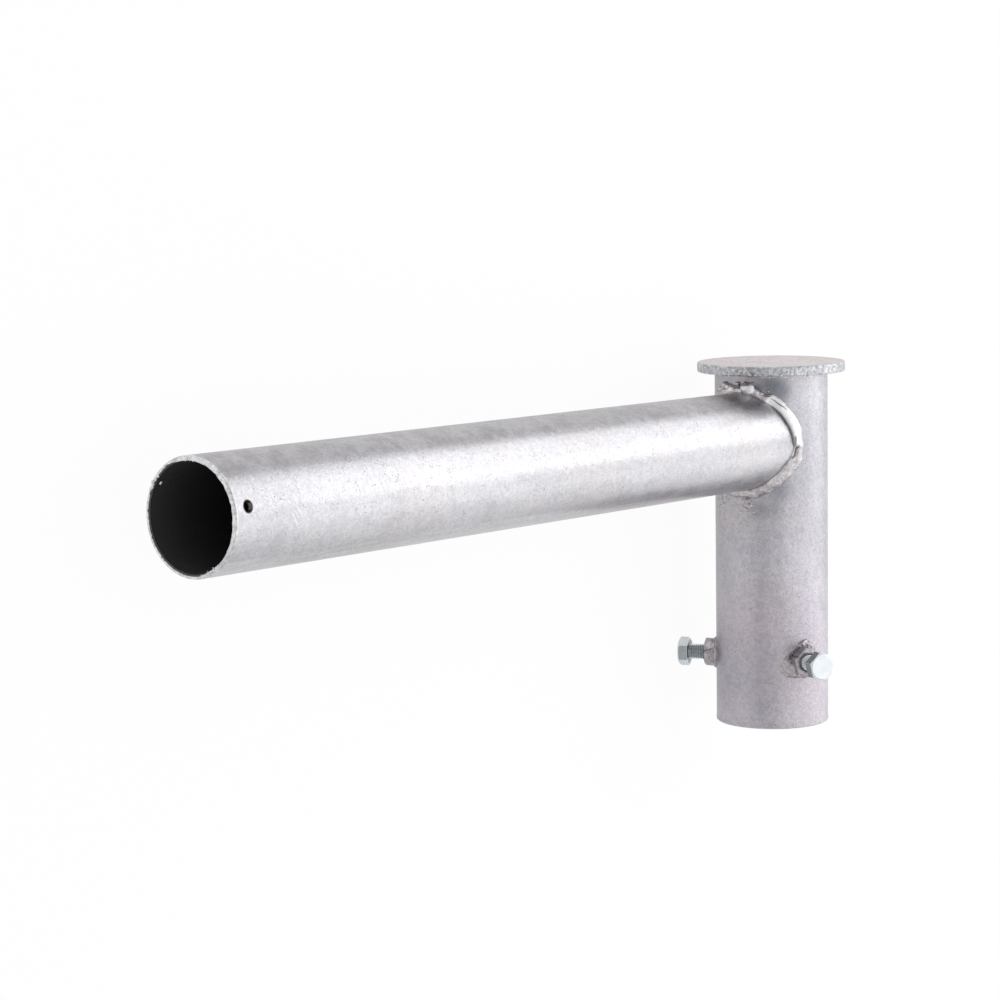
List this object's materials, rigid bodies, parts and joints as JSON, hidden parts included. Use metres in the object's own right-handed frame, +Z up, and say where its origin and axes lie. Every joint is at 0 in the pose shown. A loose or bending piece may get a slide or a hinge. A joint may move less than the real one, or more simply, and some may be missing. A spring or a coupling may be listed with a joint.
{
  "type": "pole top bracket arm",
  "caption": "Galvanised steel pole-top bracket: a capped sleeve with clamping set screws and a straight side arm of round tube with a fixing hole near its open end.",
  "frame": {"origin": "centre of the sleeve's open mouth, where the pole enters", "axes": "the bracket lies on its side: +Y runs up the sleeve to the cap, -X out along the arm, which rises 1.06 degrees towards +Y, and +Z is up"},
  "size_m": [0.5665, 0.226, 0.1142],
  "materials": {
    "galvanised_tube": "hot-dip galvanised, mottled satin grey",
    "galvanised_plate": "hot-dip galvanised, dull and speckled",
    "weld_bead": "galvanised over a hand-laid weld",
    "galvanised_nut": "galvanised over, dull",
    "zinc_plated_screw": "bright zinc plated, bluish"
  },
  "bodies": {
    "root": {"pole_sleeve": "galvanised_tube", "arm_tube": "galvanised_tube", "cap_plate": "galvanised_plate", "cap_weld": "weld_bead", "arm_weld": "weld_bead", "nut_weld_1": "weld_bead", "nut_weld_2": "weld_bead", "clamp_nut_1": "galvanised_nut", "clamp_nut_2": "galvanised_nut", "set_screw_1": "zinc_plated_screw", "set_screw_2": "zinc_plated_screw"}
  },
  "joints": []
}
